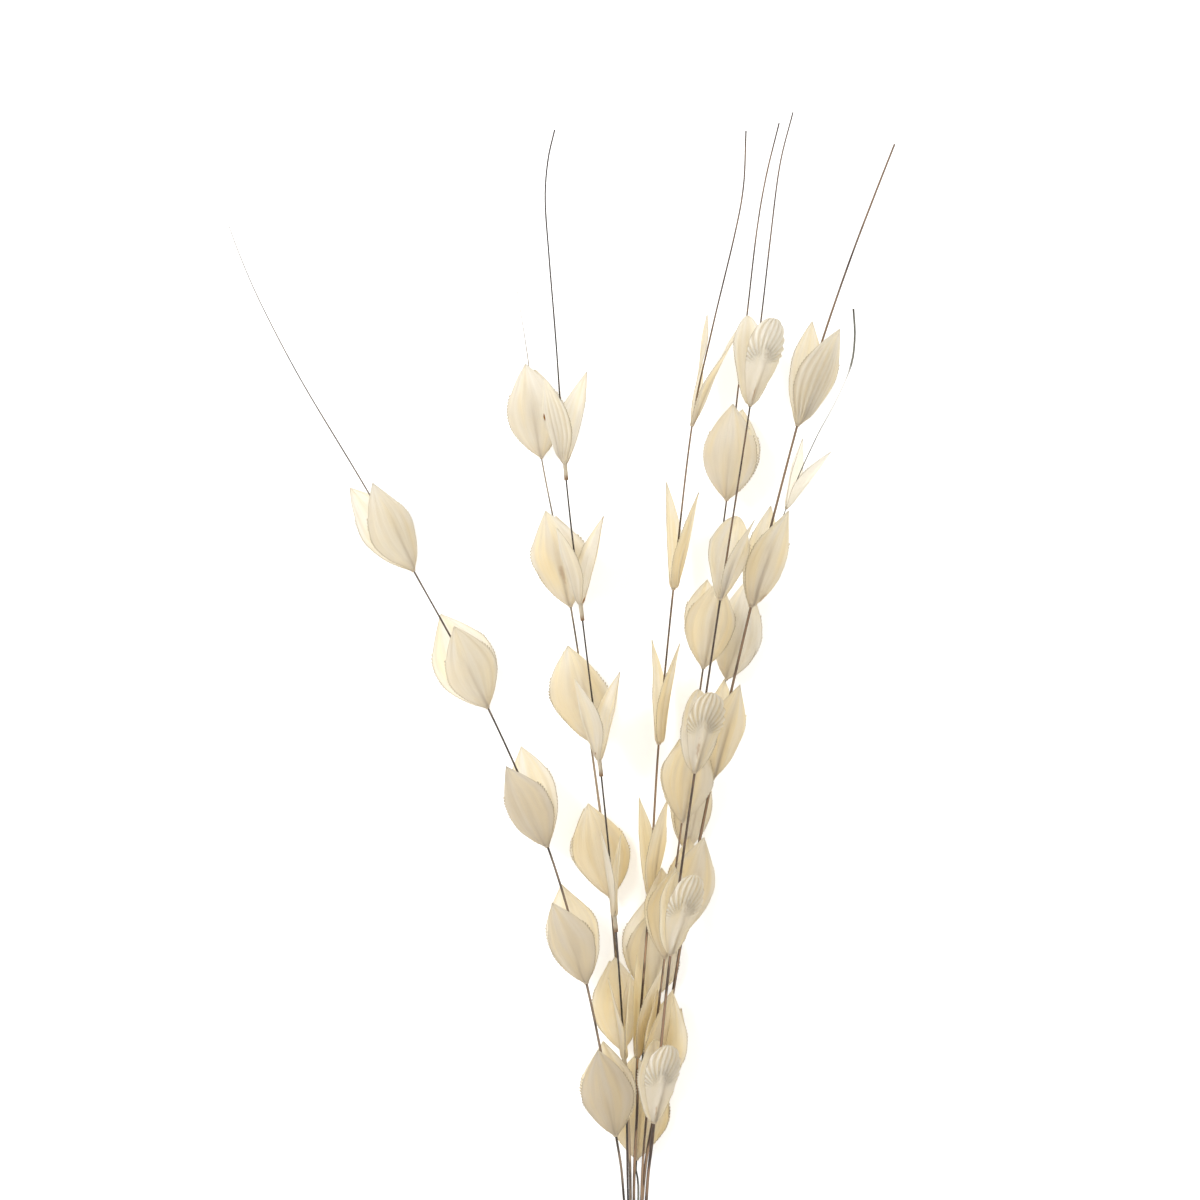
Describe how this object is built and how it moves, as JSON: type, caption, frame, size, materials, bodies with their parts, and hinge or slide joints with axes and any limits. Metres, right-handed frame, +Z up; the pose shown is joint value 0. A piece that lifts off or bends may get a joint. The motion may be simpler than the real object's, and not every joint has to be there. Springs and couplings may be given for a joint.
{
  "type": "bundle of dried flatpod stems",
  "caption": "Loose bunch of long thin dried stems, laid down and fanned out from the cut feet, each with pale papery pods that open in two pointed valves round the stem.",
  "frame": {"origin": "middle of the whole bundle's outline seen from above, on the surface that it lies on", "axes": "+Y from the cut feet towards the tips, +Z up from the surface, +X to the right seen from above with the tips away"},
  "size_m": [0.5029, 0.9482, 0.0806],
  "materials": {
    "pale_pod": "matte, veined, slightly translucent",
    "olive_stem": "dry, matte",
    "tan_stem": "dry, matte",
    "black_stem": "dry, matte",
    "brown_stem": "dry, matte",
    "dark_stem": "dry, matte"
  },
  "bodies": {
    "root": {"stem_1": "olive_stem", "pod_1a": "pale_pod", "pod_1b": "pale_pod", "pod_1c": "pale_pod", "pod_1d": "pale_pod", "pod_1e": "pale_pod", "stem_2": "tan_stem", "pod_2a": "pale_pod", "pod_2b": "pale_pod", "pod_2c": "pale_pod", "pod_2d": "pale_pod", "pod_2e": "pale_pod", "stem_3": "black_stem", "pod_3a": "pale_pod", "pod_3b": "pale_pod", "pod_3c": "pale_pod", "pod_3d": "pale_pod", "pod_3e": "pale_pod", "stem_4": "brown_stem", "pod_4a": "pale_pod", "pod_4b": "pale_pod", "pod_4c": "pale_pod", "pod_4d": "pale_pod", "pod_4e": "pale_pod", "stem_5": "brown_stem", "pod_5a": "pale_pod", "pod_5b": "pale_pod", "pod_5c": "pale_pod", "pod_5d": "pale_pod", "pod_5e": "pale_pod", "stem_6": "dark_stem", "pod_6a": "pale_pod", "pod_6b": "pale_pod", "pod_6c": "pale_pod", "pod_6d": "pale_pod", "pod_6e": "pale_pod", "stem_7": "brown_stem", "pod_7a": "pale_pod", "pod_7b": "pale_pod", "pod_7c": "pale_pod", "pod_7d": "pale_pod", "pod_7e": "pale_pod", "stem_8": "olive_stem", "pod_8a": "pale_pod", "pod_8b": "pale_pod", "pod_8c": "pale_pod", "pod_8d": "pale_pod", "pod_8e": "pale_pod"}
  },
  "joints": []
}
